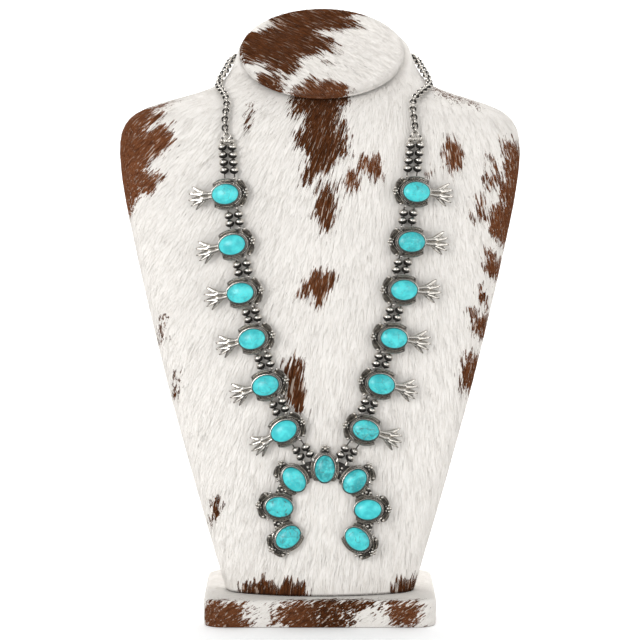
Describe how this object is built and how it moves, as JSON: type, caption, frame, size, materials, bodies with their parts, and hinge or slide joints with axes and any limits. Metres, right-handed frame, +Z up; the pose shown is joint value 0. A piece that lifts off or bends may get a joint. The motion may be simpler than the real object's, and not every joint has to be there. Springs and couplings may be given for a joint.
{
  "type": "squash blossom necklace on a neck bust",
  "caption": "Squash blossom necklace of antiqued silver castings, beads and oval turquoise with a crescent naja, hung on a hide-covered neck bust.",
  "frame": {"origin": "middle of the underside of the bust's base", "axes": "+Z up, the chest and the necklace face -Y, +X to the viewer's right"},
  "size_m": [0.268, 0.1399, 0.4032],
  "materials": {
    "hide": "short white hair with brown patches",
    "silver": "antiqued silver, dark in its recesses",
    "bead_silver": "antiqued silver, polished on top",
    "chain_silver": "antiqued silver",
    "turquoise": "polished, with brown veins",
    "thread": "dark waxed thread"
  },
  "bodies": {
    "root": {"bust_base": "hide", "bust_form": "hide", "bust_cap": "hide", "blossom_left_1": "silver", "blossom_left_2": "silver", "blossom_left_3": "silver", "blossom_left_4": "silver", "blossom_left_5": "silver", "blossom_left_6": "silver", "blossom_right_1": "silver", "blossom_right_2": "silver", "blossom_right_3": "silver", "blossom_right_4": "silver", "blossom_right_5": "silver", "blossom_right_6": "silver", "naja": "silver", "connector_left": "silver", "connector_right": "silver", "clasp_hook": "silver", "clasp_ring": "silver", "beads_left_inner": "bead_silver", "beads_left_outer": "bead_silver", "beads_right_inner": "bead_silver", "beads_right_outer": "bead_silver", "neck_chain_left": "chain_silver", "neck_chain_right": "chain_silver", "stone_left_1": "turquoise", "stone_left_2": "turquoise", "stone_left_3": "turquoise", "stone_left_4": "turquoise", "stone_left_5": "turquoise", "stone_left_6": "turquoise", "stone_right_1": "turquoise", "stone_right_2": "turquoise", "stone_right_3": "turquoise", "stone_right_4": "turquoise", "stone_right_5": "turquoise", "stone_right_6": "turquoise", "naja_stone_1": "turquoise", "naja_stone_2": "turquoise", "naja_stone_3": "turquoise", "naja_stone_4": "turquoise", "naja_stone_5": "turquoise", "naja_stone_6": "turquoise", "naja_stone_7": "turquoise", "thread_left_inner": "thread", "thread_left_outer": "thread", "thread_right_inner": "thread", "thread_right_outer": "thread"}
  },
  "joints": []
}
